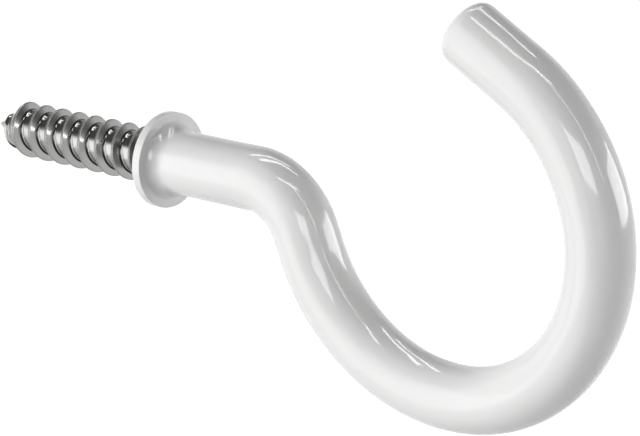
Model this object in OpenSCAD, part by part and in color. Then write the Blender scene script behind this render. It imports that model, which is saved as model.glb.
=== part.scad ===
// Coated screw hook: a bent steel wire with a rolled wood-screw thread and an upset flange,
// under a soft plastic dip coat that covers the hook and the flange and leaves the thread bare.
// The screw's axis is X, with the point towards -X. The bow lies in the XZ plane and opens upwards.
// The origin is the centre of the flange's back face, which seats on the wall.

/* [Wire] */
// Diameter of the bare steel wire
wire_d = 3.5; // [3.2:0.1:4]
// Straight wire from the flange's back face to the first bend
shank_len = 8.2; // [5:0.1:15]
// Radius of the bend that turns the wire down, at the wire's centre
neck_bend_r = 4.4; // [3.6:0.1:8]
// Straight wire between the two bends
drop_len = 1.2; // [0.5:0.1:6]
// Radius of the round bow, at the wire's centre
bow_r = 11.8; // [8:0.1:20]
// Angle that the tip makes with the screw's axis
tip_angle = 30; // [10:1:60]
// Straight wire at the tip, up to its rounded end
tip_len = 4.0; // [1:0.1:8]

/* [Flange] */
// Diameter of the steel flange
flange_d = 5.7; // [5.4:0.1:8]
// Thickness of the steel flange
flange_t = 0.4; // [0.3:0.05:1.5]
// Radius in the corner behind the flange
flange_root_r = 0.25; // [0.2:0.01:0.4]

/* [Coating] */
// Thickness of the coat on the wire, the rim and the tip
coat_t = 0.4; // [0.2:0.05:0.6]
// Thickness of the coat on the flange's front face, at its rim
face_coat_t = 0.25; // [0.15:0.05:0.6]
// Radius of the fillet that the coat leaves between flange and shank
collar_fillet_r = 0.7; // [0.3:0.05:0.95]
// Radius on the front edge of the coated rim
rim_edge_r = 0.12; // [0.05:0.01:0.15]
// Radius on the edge of the coated tip
tip_edge_r = 0.9; // [0.8:0.05:1.5]

/* [Thread] */
// Diameter over the thread's crests
thread_d = 3.83; // [3.7:0.01:4]
// Diameter at the thread's root
root_d = 2.7; // [2.4:0.1:3]
// Distance from one turn to the next
pitch = 1.6; // [1.2:0.05:2]
// Angle between the two flanks of the thread
flank_angle = 60; // [40:1:60]
// Width of the land on the crest
crest_w = 0.12; // [0.05:0.01:0.2]
// Length of the screw, from the flange's back face to its point
screw_len = 16; // [10:0.5:30]
// Length of the tapered point
point_len = 2.4; // [2:0.1:5]
// Bare tip of the point, ahead of the first turn
bare_tip = 0.3; // [0.1:0.05:0.5]
// Plain wire between the flange and the thread
neck_len = 0.4; // [0.4:0.1:3]
// Length over which the thread fades out into the neck
runout_len = 0.8; // [0.5:0.1:3]

/* [Hidden] */
$fn = 96;

steel_colour = [0.66, 0.66, 0.65];
coating_colour = [0.93, 0.93, 0.93];

wire_r = wire_d / 2;
coated_r = wire_r + coat_t;
collar_r = flange_d / 2 + coat_t;
rim_t = flange_t + face_coat_t;
fillet_r = min(collar_fillet_r, collar_r - rim_edge_r - coated_r);

// The wire drops far enough to put the bow's centre on the screw's axis.
bend_span = norm([bow_r + neck_bend_r, drop_len]);
drop_angle = pure_turn(acos(neck_bend_r / bend_span) - atan(drop_len / (bow_r + neck_bend_r)));
bow_angle = pure_turn(drop_angle + 180 - tip_angle);
spare_angle = 2;                // a bend's extra arc, cut off square at its end
lap = 0.00000002;               // each stretch laps over the next by this hair, so that they fuse

// Thread
point_x = -screw_len;
thread_end_x = -neck_len;
thread_depth = (thread_d - root_d) / 2;
flank_w = thread_depth * tan(flank_angle / 2);
root_w = pitch - crest_w - 2 * flank_w;
seat_step = 0.05;               // the thread's end lies this far inside the neck's wall
bury_len = 0.3;                 // and reaches this deep into the neck
turn_steps = 36;

// The nearest angle, within 0.04 degrees, whose sine and cosine still make a pure turn when they are
// rounded to six digits. The stretches that meet after such a turn share one end circle.
function rounded(v) = v == 0 ? 0 : let(unit = pow(10, floor(log(abs(v))) - 5)) round(v / unit) * unit;
function turn_error(angle) = abs(norm([rounded(cos(angle)), rounded(sin(angle))]) - 1);
function pure_turn(angle) =
  let(
    tries = [for (i = [-200:200]) angle + i / 5000],
    errors = [for (a = tries) turn_error(a)]
  )
  tries[search(min(errors), errors)[0]];

// A straight stretch of wire along +X. What follows it starts at its far end.
module straight(r, length) {
  rotate([0, 90, 0]) cylinder(r = r, h = length + lap);
  translate([length, 0, 0]) children();
}

// A round bend that starts along +X and turns up by the angle. What follows it starts at its far end.
// The arc is made a little longer, then cut square where the next stretch starts.
module bend(r, bend_r, angle) {
  difference() {
    translate([0, 0, bend_r])
      rotate([90, 0, 0])
        rotate([0, 0, -90])
          rotate_extrude(angle = angle + spare_angle)
            translate([bend_r, 0]) circle(r = r);
    after_bend(bend_r, angle)
      translate([4 * r + lap, -2 * r, -2 * r]) mirror([1, 0, 0]) cube(4 * r);
  }
  after_bend(bend_r, angle) children();
}

module after_bend(bend_r, angle) {
  translate([0, 0, bend_r]) rotate([0, -angle, 0]) translate([0, 0, -bend_r]) children();
}

// The end of the wire along +X, with its edge rounded.
module tip(r, length, edge_r) {
  rotate([0, 90, 0])
    rotate_extrude()
      difference() {
        square([r, length + edge_r]);
        translate([r - edge_r, length])
          difference() {
            square(2 * edge_r);
            circle(r = edge_r);
          }
      }
}

// The whole hook at one radius, from the flange's back face to the tip.
module hook_form(r, edge_r) {
  straight(r, shank_len)
    mirror([0, 0, 1]) bend(r, neck_bend_r, drop_angle)
      straight(r, drop_len)
        mirror([0, 0, 1]) bend(r, bow_r, bow_angle)
          tip(r, tip_len, edge_r);
}

// Corner radius between the flange's back face and the neck.
module flange_root() {
  rotate([0, -90, 0])
    rotate_extrude()
      difference() {
        square([wire_r + flange_root_r, flange_root_r]);
        translate([wire_r + flange_root_r, flange_root_r]) circle(r = flange_root_r);
      }
}

// The thread's profile over one pitch: distance along the screw, and height from 0 at the root to 1 at the crest.
profile = [[0, 0], [root_w / 2, 0], [root_w, 0], [root_w + flank_w, 1], [root_w + flank_w + crest_w, 1]];
stations = len(profile);

function ramp(x, from, to) = min(1, max(0, (x - from) / (to - from)));
function smooth(t) = t * t * (3 - 2 * t);

// Radii of the root and the crest along the screw: both start at the point, and end in the neck.
function runout(x) = smooth(ramp(x, thread_end_x - runout_len, thread_end_x));
function into_neck(r, x) = r + (wire_r - seat_step - r) * runout(x);
function root_r(x) = into_neck(root_d / 2 * ramp(x, point_x, point_x + point_len), x);
function crest_r(x) =
  max(root_r(x), into_neck(thread_d / 2 * ramp(x, point_x + bare_tip, point_x + point_len), x));

// One point of the thread's skin: a number of steps along the helix, and a station of the profile.
function skin_point(step, station) =
  let(
    helix_x = point_x - pitch + pitch * step / turn_steps + profile[station][0],
    x = min(thread_end_x + bury_len, max(point_x, helix_x)),
    r = root_r(x) + (crest_r(x) - root_r(x)) * profile[station][1],
    angle = 360 * step / turn_steps
  )
  [x, -r * sin(angle), r * cos(angle)];

// The thread as one closed skin wound along its helix, from the point to a flat end inside the neck.
module thread() {
  turns = ceil((thread_end_x + bury_len - point_x) / pitch) + 2;
  steps = turns * turn_steps;
  points = [for (step = [0:steps]) for (station = [0:stations - 1]) skin_point(step, station)];
  // The station after the last one is the first station of the next turn.
  function at(step, station) =
    station < stations ? step * stations + station : (step + turn_steps) * stations + station - stations;
  function is_real(f) = points[f[0]] != points[f[1]] && points[f[1]] != points[f[2]] && points[f[2]] != points[f[0]];
  skin = [for (step = [0:steps - turn_steps - 1]) for (station = [0:stations - 1])
            for (f = [[at(step, station), at(step, station + 1), at(step + 1, station + 1)],
                      [at(step, station), at(step + 1, station + 1), at(step + 1, station)]])
              if (is_real(f)) f];
  flat_end = [for (i = [0:turn_steps - 1]) at(steps - i - 1, stations - 1)];
  polyhedron(points = points, faces = concat(skin, [flat_end]));
}

// The coated collar: a flat rim and a hollow fillet that runs out on the shank.
module coated_collar() {
  rotate([0, 90, 0])
    rotate_extrude()
      difference() {
        square([collar_r, rim_t + fillet_r]);
        translate([coated_r + fillet_r, rim_t]) square([collar_r, 2 * fillet_r]);
        translate([coated_r + fillet_r, rim_t + fillet_r]) circle(r = fillet_r);
        translate([collar_r - rim_edge_r, rim_t - rim_edge_r])
          difference() {
            square(2 * rim_edge_r);
            circle(r = rim_edge_r);
          }
      }
}

// Steel that the coating sits on.
module coated_steel() {
  hook_form(wire_r, tip_edge_r - coat_t);
  straight(flange_d / 2, flange_t);
}

module steel_hook() {
  color(steel_colour) {
    coated_steel();
    translate([-neck_len, 0, 0]) straight(wire_r, neck_len);
    flange_root();
    thread();
  }
}

module plastic_coating() {
  color(coating_colour)
    difference() {
      union() {
        hook_form(coated_r, tip_edge_r);
        coated_collar();
      }
      coated_steel();
    }
}

steel_hook();
plastic_coating();
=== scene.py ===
import math

import bmesh
import bpy
from mathutils import Matrix, Vector, noise


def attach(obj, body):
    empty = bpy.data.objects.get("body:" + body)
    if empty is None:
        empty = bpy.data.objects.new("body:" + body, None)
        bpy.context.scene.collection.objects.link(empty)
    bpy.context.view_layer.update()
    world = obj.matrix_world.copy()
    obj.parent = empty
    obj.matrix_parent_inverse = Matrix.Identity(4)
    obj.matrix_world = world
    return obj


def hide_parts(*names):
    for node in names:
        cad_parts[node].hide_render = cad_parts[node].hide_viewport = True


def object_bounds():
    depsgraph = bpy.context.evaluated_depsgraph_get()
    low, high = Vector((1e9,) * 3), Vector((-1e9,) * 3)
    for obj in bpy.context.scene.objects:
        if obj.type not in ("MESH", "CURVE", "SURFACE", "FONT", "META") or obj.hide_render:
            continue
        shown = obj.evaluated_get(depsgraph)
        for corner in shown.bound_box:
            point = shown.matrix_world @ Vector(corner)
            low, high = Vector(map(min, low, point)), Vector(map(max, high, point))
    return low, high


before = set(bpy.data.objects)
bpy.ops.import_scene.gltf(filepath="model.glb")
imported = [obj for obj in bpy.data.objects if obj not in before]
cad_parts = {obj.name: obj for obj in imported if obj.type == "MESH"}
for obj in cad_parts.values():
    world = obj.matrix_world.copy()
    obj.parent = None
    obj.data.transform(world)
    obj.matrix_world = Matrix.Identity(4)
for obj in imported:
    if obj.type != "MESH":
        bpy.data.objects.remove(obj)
cadLow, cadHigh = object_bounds()
print("frame loaded:", ", ".join(sorted(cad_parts)))

# The screw's axis is X, the collar's back face stands at X = 0 and the bow opens towards +Z.
# Every length is in metres.


# the bent wire
wire = {
    "radius": 0.00175,
    "shankLength": 0.0082,       # collar's back face to the first bend
    "neckRadius": 0.0044,        # the bend that turns the wire down
    "dropLength": 0.0012,        # short straight between the bends
    "bowRadius": 0.0118,
    "tipAngle": 30.0,            # degrees between the tip and the screw's axis
    "tipLength": 0.0040,         # straight end, up to its rounded edge
    "step": 0.0006,              # between the rings of the steel and of the coat's bore
}


def bendAngles():
    # the wire drops just far enough to centre the bow on the screw's axis
    reach = wire["bowRadius"] + wire["neckRadius"]
    span = math.hypot(reach, wire["dropLength"])
    drop = math.acos(wire["neckRadius"] / span) - math.atan(wire["dropLength"] / reach)
    return drop, drop + math.pi - math.radians(wire["tipAngle"])


dropAngle, bowAngle = bendAngles()
stretches = [                    # length, and turn per metre: minus bends down, plus bends up
    (wire["shankLength"], 0.0),
    (wire["neckRadius"] * dropAngle, -1.0 / wire["neckRadius"]),
    (wire["dropLength"], 0.0),
    (wire["bowRadius"] * bowAngle, 1.0 / wire["bowRadius"]),
    (wire["tipLength"], 0.0),
]
routeLength = sum(length for length, turn in stretches)


def alongWire(distance):
    # centre of the wire and its heading, this far on from the collar's back face
    x, z, heading, left = 0.0, 0.0, 0.0, distance
    for i, (length, turn) in enumerate(stretches):
        step = left if i == len(stretches) - 1 else min(left, length)
        if turn:
            x += (math.sin(heading + turn * step) - math.sin(heading)) / turn
            z -= (math.cos(heading + turn * step) - math.cos(heading)) / turn
            heading += turn * step
        else:
            x += math.cos(heading) * step
            z += math.sin(heading) * step
        left -= step
        if left <= 0:
            break
    return Vector((x, 0.0, z)), heading


def sweptSkin(name, stations, sides, swell=None):
    # one closed skin: rings at (distance along the wire, radius), with a pole at each end of the list
    verts, flow, faces = [], [], []
    for distance, radius in stations:
        centre, heading = alongWire(distance)
        up = Vector((-math.sin(heading), 0.0, math.cos(heading)))
        if radius == 0.0:
            verts.append(centre)
            flow.append((distance, 0.0, 0.0))
            continue
        for j in range(sides):
            angle = 2 * math.pi * j / sides
            grown = radius + (swell(distance, radius, angle) if swell else 0.0)
            aside = Vector((0.0, grown * math.sin(angle), 0.0))
            verts.append(centre + up * (grown * math.cos(angle)) + aside)
            flow.append((distance, radius * math.sin(angle), radius * math.cos(angle)))

    def onRing(i, j):
        return 1 + i * sides + j % sides

    rings, lastPole = len(stations) - 2, len(verts) - 1
    for j in range(sides):
        faces.append((0, onRing(0, j), onRing(0, j + 1)))
        for i in range(rings - 1):
            faces.append((onRing(i, j), onRing(i + 1, j), onRing(i + 1, j + 1), onRing(i, j + 1)))
        faces.append((onRing(rings - 1, j), lastPole, onRing(rings - 1, j + 1)))
    mesh = bpy.data.meshes.new(name)
    mesh.from_pydata(verts, [], faces)
    # where each point would lie on a straight wire, for the coat's runs
    straight = mesh.attributes.new("flow", "FLOAT_VECTOR", "POINT")
    straight.data.foreach_set("vector", [c for p in flow for c in p])
    return mesh


def addPiece(name, mesh, material, sharpAngle):
    mesh.shade_smooth()
    mesh.set_sharp_from_angle(angle=math.radians(sharpAngle))
    mesh.materials.append(material)
    piece = bpy.data.objects.new(name, mesh)
    bpy.context.scene.collection.objects.link(piece)
    return piece


def arc(centreS, centreR, radius, fromAngle, toAngle, steps, height=None):
    # stations on a round corner; 0 degrees points along the wire, 90 away from its axis
    out = []
    for i in range(steps + 1):
        angle = math.radians(fromAngle + (toAngle - fromAngle) * i / steps)
        out.append((centreS + radius * math.cos(angle), centreR + (height or radius) * math.sin(angle)))
    return out


def evenly(start, end, step, radius):
    # stations between start and end, without the two ends
    count = max(1, round(abs(end - start) / step))
    return [(start + (end - start) * i / count, radius) for i in range(1, count)]


def ramp(x, start, end):
    return min(1.0, max(0.0, (x - start) / (end - start)))


# materials
def newMaterial(name):
    material = bpy.data.materials.new(name)
    material.use_nodes = True
    nodes = material.node_tree.nodes
    return material, nodes, material.node_tree.links, nodes["Principled BSDF"]


def addNode(nodes, kind, inputs=None, **settings):
    node = nodes.new(kind)
    for setting, value in settings.items():
        setattr(node, setting, value)
    for socket, value in (inputs or {}).items():
        node.inputs[socket].default_value = value
    return node


def addRange(nodes, source, target=(0.0, 1.0)):
    return addNode(nodes, "ShaderNodeMapRange", {
        "From Min": source[0], "From Max": source[1], "To Min": target[0], "To Max": target[1]})


def addBump(nodes, strength, height):
    return addNode(nodes, "ShaderNodeBump", {"Strength": strength, "Distance": height})


coatFinish = {
    "colour": (0.86, 0.86, 0.855),
    "paler": (0.885, 0.885, 0.88),
    "patches": 260.0,                # scale of the noise that mixes the two colours
    "gloss": (0.07, 0.13),           # roughness, least and most
    "runs": (110.0, 620.0, 620.0),   # slow runs of the dip, long along the wire and short around it
    "runDetail": 1.5,
    "runBreakup": 0.4,
    "runStrength": 0.18,
    "runHeight": 0.0004,
    "peel": 1500.0,                  # fine orange peel
    "peelStrength": 0.003,
    "peelHeight": 0.00005,
    "ior": 1.5,
}


def coatMaterial(finish):
    material, nodes, links, shader = newMaterial("glossWhiteDip")
    flow = addNode(nodes, "ShaderNodeAttribute", attribute_name="flow")
    runs = addNode(nodes, "ShaderNodeVectorMath", {1: finish["runs"]}, operation="MULTIPLY")
    wave = addNode(nodes, "ShaderNodeTexNoise", {
        "Scale": 1.0, "Detail": finish["runDetail"], "Roughness": finish["runBreakup"]})
    peel = addNode(nodes, "ShaderNodeTexNoise", {"Scale": finish["peel"], "Detail": 2.0})
    cloud = addNode(nodes, "ShaderNodeTexNoise", {"Scale": finish["patches"], "Detail": 3.0})
    tint = addNode(nodes, "ShaderNodeMix", data_type="RGBA")
    tint.inputs["A"].default_value = (*finish["colour"], 1.0)
    tint.inputs["B"].default_value = (*finish["paler"], 1.0)
    polish = addRange(nodes, (0.0, 1.0), finish["gloss"])
    slow = addBump(nodes, finish["runStrength"], finish["runHeight"])
    fine = addBump(nodes, finish["peelStrength"], finish["peelHeight"])
    links.new(flow.outputs["Vector"], runs.inputs[0])
    links.new(runs.outputs["Vector"], wave.inputs["Vector"])
    links.new(flow.outputs["Vector"], peel.inputs["Vector"])
    links.new(flow.outputs["Vector"], cloud.inputs["Vector"])
    links.new(cloud.outputs["Fac"], tint.inputs["Factor"])
    links.new(cloud.outputs["Fac"], polish.inputs["Value"])
    links.new(tint.outputs["Result"], shader.inputs["Base Color"])
    links.new(polish.outputs["Result"], shader.inputs["Roughness"])
    links.new(wave.outputs["Fac"], slow.inputs["Height"])
    links.new(peel.outputs["Fac"], fine.inputs["Height"])
    links.new(slow.outputs["Normal"], fine.inputs["Normal"])
    links.new(fine.outputs["Normal"], shader.inputs["Normal"])
    shader.inputs["IOR"].default_value = finish["ior"]
    return material


steelFinish = {
    "colour": (0.33, 0.33, 0.322),
    "paler": (0.37, 0.37, 0.362),
    "blotches": 900.0,                   # scale of the noise that mixes the two colours
    "crest": (0.25, 0.25, 0.244),
    "crestShadeFrom": (0.00182, 0.00190),     # distances from the axis over which the crest's darker colour, a painted shade that dims its reflections, comes in
    "grooveShade": (0.012, 0.012, 0.011),     # painted shade in the corners of the thread
    "grooveShadeFrom": (0.001356, 0.001380),  # distances from the axis over which it darkens
    "grooveShadeTo": (0.001460, 0.001520),    # and clears again
    "grooveShadeHeight": (-0.0002, 0.0007),   # the painted shade is heaviest on the underside
    "grooveShadeAbove": 0.75,                 # and this share of it is painted on top
    "gloss": (0.13, 0.17),               # roughness, least and most
    "crestGloss": 0.24,                  # how much rougher the rubbed crests are
    "rubbedFrom": (0.00180, 0.00188),    # distances from the axis over which they become so
    "marks": (9000.0, 500.0, 500.0),     # roll marks run round the screw, close together along it
    "markStrength": 0.012,
    "markHeight": 0.00003,
}


def steelMaterial(finish):
    material, nodes, links, shader = newMaterial("rolledSteel")
    place = addNode(nodes, "ShaderNodeTexCoord")
    split = addNode(nodes, "ShaderNodeSeparateXYZ")
    flat = addNode(nodes, "ShaderNodeCombineXYZ")
    reach = addNode(nodes, "ShaderNodeVectorMath", operation="LENGTH")   # distance from the screw's axis
    crest = addRange(nodes, finish["crestShadeFrom"])
    # painted shade: the thread's corners are darkened, most on the underside
    enter = addRange(nodes, finish["grooveShadeFrom"])
    leave = addRange(nodes, finish["grooveShadeTo"], (1.0, 0.0))
    under = addRange(nodes, finish["grooveShadeHeight"], (1.0, finish["grooveShadeAbove"]))
    corner = addNode(nodes, "ShaderNodeMath", operation="MULTIPLY")
    shadeAmount = addNode(nodes, "ShaderNodeMath", operation="MULTIPLY")
    blotch = addNode(nodes, "ShaderNodeTexNoise", {"Scale": finish["blotches"], "Detail": 4.0})
    tint = addNode(nodes, "ShaderNodeMix", data_type="RGBA")
    # the crest is painted darker, a painted shade that dims its reflections
    crestShaded = addNode(nodes, "ShaderNodeMix", data_type="RGBA")
    grooveShaded = addNode(nodes, "ShaderNodeMix", data_type="RGBA")
    for mix, colour in ((tint, "paler"), (crestShaded, "crest"), (grooveShaded, "grooveShade")):
        mix.inputs["B"].default_value = (*finish[colour], 1.0)
    tint.inputs["A"].default_value = (*finish["colour"], 1.0)
    lines = addNode(nodes, "ShaderNodeMapping", {"Scale": finish["marks"]})
    marks = addNode(nodes, "ShaderNodeTexNoise", {"Scale": 1.0, "Detail": 3.0})
    polish = addRange(nodes, (0.0, 1.0), finish["gloss"])
    rubbed = addRange(nodes, finish["rubbedFrom"], (0.0, finish["crestGloss"]))
    rougher = addNode(nodes, "ShaderNodeMath", operation="ADD")
    relief = addBump(nodes, finish["markStrength"], finish["markHeight"])
    links.new(place.outputs["Object"], split.inputs["Vector"])
    links.new(split.outputs["Y"], flat.inputs["Y"])
    links.new(split.outputs["Z"], flat.inputs["Z"])
    links.new(flat.outputs["Vector"], reach.inputs[0])
    for band in (crest, rubbed, enter, leave):
        links.new(reach.outputs["Value"], band.inputs["Value"])
    links.new(enter.outputs["Result"], corner.inputs[0])
    links.new(leave.outputs["Result"], corner.inputs[1])
    links.new(split.outputs["Z"], under.inputs["Value"])
    links.new(corner.outputs["Value"], shadeAmount.inputs[0])
    links.new(under.outputs["Result"], shadeAmount.inputs[1])
    links.new(place.outputs["Object"], blotch.inputs["Vector"])
    links.new(blotch.outputs["Fac"], tint.inputs["Factor"])
    links.new(tint.outputs["Result"], crestShaded.inputs["A"])
    links.new(crest.outputs["Result"], crestShaded.inputs["Factor"])
    # the painted shade of the thread's corners goes over the colour last
    links.new(crestShaded.outputs["Result"], grooveShaded.inputs["A"])
    links.new(shadeAmount.outputs["Value"], grooveShaded.inputs["Factor"])
    links.new(grooveShaded.outputs["Result"], shader.inputs["Base Color"])
    links.new(place.outputs["Object"], lines.inputs["Vector"])
    links.new(lines.outputs["Vector"], marks.inputs["Vector"])
    links.new(marks.outputs["Fac"], polish.inputs["Value"])
    links.new(polish.outputs["Result"], rougher.inputs[0])
    links.new(rubbed.outputs["Result"], rougher.inputs[1])
    links.new(rougher.outputs["Value"], shader.inputs["Roughness"])
    links.new(marks.outputs["Fac"], relief.inputs["Height"])
    links.new(relief.outputs["Normal"], shader.inputs["Normal"])
    shader.inputs["Metallic"].default_value = 1.0
    return material


whiteDip = coatMaterial(coatFinish)
rolledSteel = steelMaterial(steelFinish)
print("materials ready")


# the plastic coat
coat = {
    "radius": 0.00215,
    "rimRadius": 0.00325,
    "rimDepth": 0.00065,
    "rimEdge": 0.00006,          # rounded front edge of the collar
    "backEdge": 0.00004,
    "filletLength": 0.0011,      # where the collar runs out on the shank
    "filletHeight": 0.00055,
    "filletLean": 23.0,          # degrees of the curve left out where it meets the collar's face
    "pocketRadius": 0.00285,     # room for the steel flange
    "pocketDepth": 0.0004,
    "tipEdge": 0.0009,
    "tipDome": 0.00006,          # the end is a little proud in the middle
    "unevenness": 0.000025,      # of the outside
    "unevenFrom": (0.0016, 0.0036),    # distances along the wire over which it comes in
    "slowWave": (170.0, 1.6),    # scales of the noise, along the wire and round it
    "quickWave": (420.0, 2.9),
    "quickShift": 7.0,
    "quickShare": 0.45,
    "unevenTip": 0.001,          # last stretch of the wire, where the bore is uneven too
    "sides": 112,
    "step": 0.0002,              # between the rings of the outside
}


def coatWave(distance, angle, scales, shift=0.0):
    along, around = scales
    spot = (distance * along + shift, around * math.cos(angle), around * math.sin(angle))
    return noise.noise(Vector(spot))


def coatSwell(distance, radius, angle):
    # the dip ran down the wire before it set, so the outside isn't quite round
    bore = radius < (wire["radius"] + coat["radius"]) / 2
    if bore and distance < routeLength - coat["unevenTip"]:
        return 0.0
    fade = ramp(distance, *coat["unevenFrom"])
    slow = coatWave(distance, angle, coat["slowWave"])
    quick = coatWave(distance, angle, coat["quickWave"], coat["quickShift"])
    return coat["unevenness"] * fade * (slow + coat["quickShare"] * quick)


def innerEdge():
    # rounding of the steel's tip, so that the coat is as thick there as along the wire
    return coat["tipEdge"] - (coat["radius"] - wire["radius"])


def coatStations():
    # the bore from its closed end to the pocket, then the collar's back, rim, fillet, outside and tip
    bore, edge = wire["radius"], innerEdge()
    boreEnd = routeLength + edge
    stations = [(boreEnd, 0.0), (boreEnd, bore - edge)]
    stations += arc(routeLength, bore - edge, edge, 0, 90, steps=6)[1:]
    depth, room = coat["pocketDepth"], coat["pocketRadius"]
    stations += evenly(routeLength, depth, wire["step"], bore)
    stations += [(depth, bore), (depth, room), (0.0, room)]
    rim, backEdge, rimEdge = coat["rimRadius"], coat["backEdge"], coat["rimEdge"]
    rimFront = coat["rimDepth"] - rimEdge
    stations += arc(backEdge, rim - backEdge, backEdge, 180, 90, steps=5)
    stations += evenly(backEdge, rimFront, coat["step"], rim)
    stations += arc(rimFront, rim - rimEdge, rimEdge, 90, 0, steps=6)
    filletEnd, leanAngle = coat["rimDepth"] + coat["filletLength"], coat["filletLean"]
    lean = math.radians(leanAngle)
    long, high = coat["filletLength"] / math.cos(lean), coat["filletHeight"] / (1 - math.sin(lean))
    stations += arc(filletEnd, coat["radius"] + high, long, 180 + leanAngle, 270, steps=18, height=high)
    stations += evenly(filletEnd, routeLength, coat["step"], coat["radius"])
    tipEdge, tipDome, domeSteps = coat["tipEdge"], coat["tipDome"], 6
    face = coat["radius"] - tipEdge
    stations += arc(routeLength, face, tipEdge, 90, 0, steps=14)
    for i in range(1, domeSteps):
        share = i / domeSteps
        proud = tipDome * math.sin(share * math.pi / 2)
        stations.append((routeLength + tipEdge + proud, face * (1 - share)))
    stations.append((routeLength + tipEdge + tipDome, 0.0))
    return stations


coatMesh = sweptSkin("plasticCoat", coatStations(), coat["sides"], coatSwell)
plasticCoat = addPiece("plasticCoat", coatMesh, whiteDip, sharpAngle=25.0)
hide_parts("plastic_coating")
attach(plasticCoat, "root")
print("coat:", len(plasticCoat.data.polygons), "faces")


# the steel wire and its flange
flange = {
    "radius": coat["pocketRadius"],
    "depth": coat["pocketDepth"],
    "backEdge": 0.00003,         # rounded edge of its back face
    "backRound": (0.00001, 0.000008),    # its middle point, off the face and in from the rim
    "rootFillet": 0.00025,
    "neckLength": 0.0004,        # plain wire between flange and thread
    "neckEdge": 0.00005,
    "clearance": 0.000004,       # by which the steel is smaller than the coat's bore
    "sides": 72,
}


def wireStations():
    # the neck, the flange, then the wire up to its rounded tip
    clear, fillet, tipEdge = flange["clearance"], flange["rootFillet"], innerEdge()
    bar, rim = wire["radius"] - clear, flange["radius"] - clear
    neckEnd, neckEdge, front = -flange["neckLength"], flange["neckEdge"], flange["depth"] - clear
    offFace, inFromRim = flange["backRound"]
    stations = [(neckEnd, 0.0), (neckEnd, bar - neckEdge)]
    stations += arc(neckEnd + neckEdge, bar - neckEdge, neckEdge, 180, 90, steps=3)[1:]
    stations += arc(-fillet, bar + fillet, fillet, 270, 360, steps=6)
    stations += [(0.0, rim - flange["backEdge"]), (offFace, rim - inFromRim), (flange["backEdge"], rim)]
    stations += [(front, rim), (front, bar)]
    stations += evenly(flange["depth"], routeLength, wire["step"], bar)
    stations += arc(routeLength, bar - tipEdge, tipEdge - clear, 90, 0, steps=6)
    stations.append((routeLength + tipEdge - clear, 0.0))
    return stations


steelWire = sweptSkin("steelHook", wireStations(), flange["sides"])


# the rolled thread
thread = {
    "crestRadius": 0.001915,
    "rootRadius": 0.00135,
    "pitch": 0.0016,
    "flankAngle": 60.0,          # degrees between the two flanks
    "crestWidth": 0.00012,
    "crestRound": 0.00004,
    "footRound": 0.00007,
    "roundSamples": 4,           # on each side, for the average that rounds the corners
    "length": 0.016,
    "pointLength": 0.0024,
    "bareTip": 0.0003,
    "runout": 0.0008,
    "seat": 0.00005,             # how far inside the neck's wall the thread ends
    "bury": 0.0003,
    "turnSteps": 132,
    "roundColumns": 2.5,         # columns to the length of a rounding
    "flankColumns": 4,
    "rootStart": 1.5,            # roundings from the corner to the evenly spaced columns on the root
    "rootStep": 0.00006,         # between those
    "roughness": 0.000001,
    "roughScale": (2600.0, 1400.0),    # of its noise, along the screw and across it
    "smoothPoint": 0.0004,       # thinner than this, it is left smooth
}


def threadProfile():
    # half the crest, one flank along the screw, and where the middle of the crest is in the pitch
    half = thread["crestWidth"] / 2
    depth = thread["crestRadius"] - thread["rootRadius"]
    flank = depth * math.tan(math.radians(thread["flankAngle"] / 2))
    return half, flank, thread["pitch"] - half - flank


def threadHeight(place):
    # 0 on the root, 1 on the crest, over one pitch from 0 to 1; the corners are rounded by averaging
    half, flank, crestAt = threadProfile()
    pitch, samples, total = thread["pitch"], thread["roundSamples"], 0.0
    away = abs((place * pitch - crestAt + pitch / 2) % pitch - pitch / 2)
    spread = thread["crestRound"] if away < half + flank / 2 else thread["footRound"]
    for k in range(-samples, samples + 1):
        total += 1.0 - ramp(away + spread * k / samples, half, half + flank)
    return total / (2 * samples + 1)


def threadColumns():
    # places over one pitch, closer together where the profile turns
    half, flank, crestAt = threadProfile()
    away = []                    # distances from the middle of the crest
    for k in range(-3, 4):
        away.append(half + thread["crestRound"] * k / thread["roundColumns"])
        away.append(half + flank + thread["footRound"] * k / thread["roundColumns"])
    away += [half + flank * k / thread["flankColumns"] for k in range(1, thread["flankColumns"])]
    rootFrom = half + flank + thread["footRound"] * thread["rootStart"]
    away += [rootFrom + thread["rootStep"] * k for k in range(1, 6)]
    places = {crestAt + side * distance for distance in away for side in (-1, 1)}
    return sorted((place / thread["pitch"]) % 1.0 for place in places)


def threadRadius(x, angle, height):
    # distance of the skin from the axis: it narrows to the point and fades into the neck
    pointX, endX, seated = -thread["length"], -flange["neckLength"], wire["radius"] - thread["seat"]
    fullX = pointX + thread["pointLength"]
    fade = ramp(x, endX - thread["runout"], endX)
    fade = fade * fade * (3 - 2 * fade)
    root = thread["rootRadius"] * ramp(x, pointX, fullX)
    crest = thread["crestRadius"] * ramp(x, pointX + thread["bareTip"], fullX)
    root += (seated - root) * fade
    crest = max(root, crest + (seated - crest) * fade)
    radius = root + (crest - root) * height
    if radius > thread["smoothPoint"] and fade == 0.0:
        along, across = thread["roughScale"]
        spot = (x * along, across * radius * math.sin(angle), across * radius * math.cos(angle))
        radius += thread["roughness"] * noise.noise(Vector(spot))
    return radius


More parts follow.
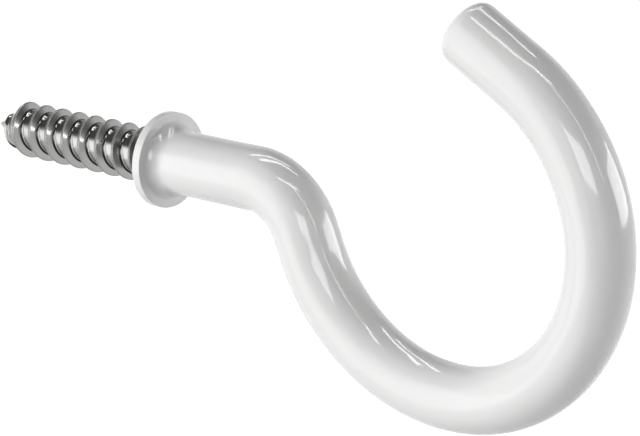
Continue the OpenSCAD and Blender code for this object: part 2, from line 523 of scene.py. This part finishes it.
def threadSkin():
    # the profile's points wound round the screw step by step, each turn joined to the next
    pointX, buriedX = -thread["length"], thread["bury"] - flange["neckLength"]
    pitch, turnSteps = thread["pitch"], thread["turnSteps"]
    columns = threadColumns()
    heights = [threadHeight(place) for place in columns]
    perStep = len(columns)
    steps = (math.ceil((buriedX - pointX) / pitch) + 2) * turnSteps
    verts = []
    for step in range(steps + 1):
        angle = 2 * math.pi * step / turnSteps
        for place, height in zip(columns, heights):
            x = pointX - pitch + pitch * (step / turnSteps + place)
            x = min(buriedX, max(pointX, x))
            radius = threadRadius(x, angle, height)
            verts.append((x, -radius * math.sin(angle), radius * math.cos(angle)))

    def pointAt(step, k):
        # past the last column comes the first one of a turn later
        return step * perStep + k if k < perStep else (step + turnSteps) * perStep + k - perStep

    faces = []
    for step in range(steps - turnSteps):
        for k in range(perStep):
            corners = []
            quad = (pointAt(step, k), pointAt(step, k + 1), pointAt(step + 1, k + 1), pointAt(step + 1, k))
            for c in quad:
                if not corners or verts[c] != verts[corners[-1]]:
                    corners.append(c)
            if len(corners) > 1 and verts[corners[0]] == verts[corners[-1]]:
                corners.pop()
            if len(corners) > 2:
                faces.append(tuple(corners))
    faces.append(tuple(pointAt(steps - i - 1, perStep - 1) for i in range(turnSteps)))
    mesh = bpy.data.meshes.new("thread")
    mesh.from_pydata(verts, [], faces)
    return mesh


threadMesh = threadSkin()
print("thread:", len(threadMesh.polygons), "faces")


def joinMeshes(name, parts, mergeWithin=1e-8):
    both = bmesh.new()
    for part in parts:
        both.from_mesh(part)
    bmesh.ops.remove_doubles(both, verts=both.verts, dist=mergeWithin)
    loose = [v for v in both.verts if not v.link_faces]
    bmesh.ops.delete(both, geom=loose, context="VERTS")
    bmesh.ops.recalc_face_normals(both, faces=both.faces)
    mesh = bpy.data.meshes.new(name)
    both.to_mesh(mesh)
    print(name, "open edges:", sum(1 for e in both.edges if len(e.link_faces) != 2))
    both.free()
    return mesh


steelMesh = joinMeshes("steelHook", [steelWire, threadMesh])
steelHook = addPiece("steelHook", steelMesh, rolledSteel, sharpAngle=40.0)
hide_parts("steel_hook")
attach(steelHook, "root")
print("steel:", len(steelHook.data.polygons), "faces")


# floor, world, lamps, camera
focus = (cadLow + cadHigh) / 2

floor = {
    "drop": 0.25,                # below the lowest point of the hook
    "radius": 3.0,
    "sides": 64,
    "colour": (0.30, 0.30, 0.30),
    "glow": 0.95,                # lifts the floor to white where it is seen or mirrored
}


def seenDirectly(nodes, links):
    # 1 for camera, glossy and transmission rays
    path = addNode(nodes, "ShaderNodeLightPath")
    some = addNode(nodes, "ShaderNodeMath", operation="MAXIMUM")
    every = addNode(nodes, "ShaderNodeMath", operation="MAXIMUM")
    links.new(path.outputs["Is Camera Ray"], some.inputs[0])
    links.new(path.outputs["Is Glossy Ray"], some.inputs[1])
    links.new(some.outputs["Value"], every.inputs[0])
    links.new(path.outputs["Is Transmission Ray"], every.inputs[1])
    return every.outputs["Value"]


def makeFloor():
    material = bpy.data.materials.new("paleFloor")
    material.use_nodes = True
    nodes, links = material.node_tree.nodes, material.node_tree.links
    nodes.clear()
    output = addNode(nodes, "ShaderNodeOutputMaterial")
    matt = addNode(nodes, "ShaderNodeBsdfDiffuse", {"Color": (*floor["colour"], 1.0)})
    glow = addNode(nodes, "ShaderNodeEmission")
    scaled = addNode(nodes, "ShaderNodeMath", {1: floor["glow"]}, operation="MULTIPLY")
    added = addNode(nodes, "ShaderNodeAddShader")
    links.new(seenDirectly(nodes, links), scaled.inputs[0])
    links.new(scaled.outputs["Value"], glow.inputs["Strength"])
    links.new(matt.outputs["BSDF"], added.inputs[0])
    links.new(glow.outputs["Emission"], added.inputs[1])
    links.new(added.outputs["Shader"], output.inputs["Surface"])
    verts, radius, height = [], floor["radius"], cadLow.z - floor["drop"]
    for i in range(floor["sides"]):
        angle = 2 * math.pi * i / floor["sides"]
        verts.append((radius * math.cos(angle), radius * math.sin(angle), height))
    mesh = bpy.data.meshes.new("floor")
    mesh.from_pydata(verts, [], [tuple(range(floor["sides"]))])
    mesh.materials.append(material)
    slab = bpy.data.objects.new("floor", mesh)
    bpy.context.scene.collection.objects.link(slab)


makeFloor()

sky = {
    "ambient": 0.30,             # light on the object from all round
    "horizon": 1.0,              # white where it is seen or mirrored
    "overhead": 0.12,            # and dim above, so that metal has something dark to mirror
    "dims": (0.30, 0.60),        # sines of the two heights between which it dims
}


def makeWorld():
    world = bpy.data.worlds.new("studio")
    bpy.context.scene.world = world
    world.use_nodes = True
    nodes, links = world.node_tree.nodes, world.node_tree.links
    background = nodes["Background"]
    background.inputs["Color"].default_value = (1.0, 1.0, 1.0, 1.0)
    direction = addNode(nodes, "ShaderNodeTexCoord")
    split = addNode(nodes, "ShaderNodeSeparateXYZ")
    dome = addRange(nodes, sky["dims"], (sky["horizon"], sky["overhead"]))
    dome.interpolation_type = "SMOOTHSTEP"
    level = addNode(nodes, "ShaderNodeMapRange", {"To Min": sky["ambient"]})
    links.new(direction.outputs["Generated"], split.inputs["Vector"])
    links.new(split.outputs["Z"], dome.inputs["Value"])
    links.new(dome.outputs["Result"], level.inputs["To Max"])
    links.new(seenDirectly(nodes, links), level.inputs["Value"])
    links.new(level.outputs["Result"], background.inputs["Strength"])


makeWorld()

# azimuth and elevation in degrees as seen from the hook; size and slide along the width in metres
lampDistance = 0.6
lamps = {
    "key": {"azimuth": -28.0, "elevation": 8.0, "width": 0.45, "height": 0.72, "power": 1.5},
    "wide": {"azimuth": -21.0, "elevation": 3.0, "width": 0.60, "height": 0.90, "power": 2.70,
             "inGloss": False},
    "lowRight": {"azimuth": 110.0, "elevation": -15.0, "width": 0.40, "height": 0.30, "power": 0.66,
                 "inGloss": False},
    "lowBack": {"azimuth": 140.0, "elevation": -8.0, "width": 0.40, "height": 0.30, "power": 1.05,
                "inGloss": False},
}

# white panels that show in gloss and metal, and add nothing to the soft light
panels = {
    "window": {"azimuth": 131.0, "elevation": 7.0, "width": 0.44, "height": 0.25, "power": 2.2},
    "front": {"azimuth": 41.0, "elevation": 18.0, "width": 0.28, "height": 0.22, "power": 1.0},
    "stripA": {"azimuth": 41.0, "elevation": 73.8, "width": 0.34, "height": 0.050, "power": 0.5,
               "slide": 0.104},
    "stripB": {"azimuth": -139.0, "elevation": 69.7, "width": 0.46, "height": 0.055, "power": 0.8,
               "slide": -0.096},
    "stripC": {"azimuth": -139.0, "elevation": 57.0, "width": 0.43, "height": 0.045, "power": 0.5,
               "slide": -0.03},
    "seam": {"azimuth": 83.5, "elevation": 45.0, "width": 0.030, "height": 0.66, "power": 0.45},
}


def directionTo(azimuth, elevation):
    around, up = math.radians(azimuth), math.radians(elevation)
    return Vector((math.sin(around) * math.cos(up), -math.cos(around) * math.cos(up), math.sin(up)))


def makeLamp(name, lamp):
    light = bpy.data.lights.new(name, "AREA")
    light.shape = "RECTANGLE"
    light.size, light.size_y = lamp["width"], lamp["height"]
    light.energy = lamp["power"]
    holder = bpy.data.objects.new(name, light)
    outward = directionTo(lamp["azimuth"], lamp["elevation"])
    turn = outward.to_track_quat("Z", "Y")
    holder.location = focus + outward * lampDistance + turn @ Vector((lamp.get("slide", 0.0), 0.0, 0.0))
    holder.rotation_mode = "QUATERNION"
    holder.rotation_quaternion = turn
    bpy.context.scene.collection.objects.link(holder)
    return holder


for name, lamp in lamps.items():
    makeLamp(name, lamp).visible_glossy = lamp.get("inGloss", True)
for name, panel in panels.items():
    makeLamp(name, panel).visible_diffuse = False

shot = {
    "azimuth": 40.95,
    "elevation": 17.98,
    "roll": -2.3,
    "distance": 0.18669,
    "aim": (0.013574, 0.00002, -0.001754),
    "lens": 162.4,               # millimetres, as is the sensor's width
    "sensor": 36.0,
    "clip": (0.01, 20.0),
}


def makeCamera():
    camera = bpy.data.objects.new("camera", bpy.data.cameras.new("camera"))
    bpy.context.scene.collection.objects.link(camera)
    camera.data.lens, camera.data.sensor_width = shot["lens"], shot["sensor"]
    camera.data.clip_start, camera.data.clip_end = shot["clip"]
    back = directionTo(shot["azimuth"], shot["elevation"])
    level = back.to_track_quat("Z", "Y").to_matrix()
    turned = level @ Matrix.Rotation(math.radians(shot["roll"]), 3, "Z")
    place = Vector(shot["aim"]) + back * shot["distance"]
    camera.matrix_world = Matrix.Translation(place) @ turned.to_4x4()
    bpy.context.scene.camera = camera


makeCamera()
bpy.context.scene.view_settings.view_transform = "Standard"
print("studio ready")
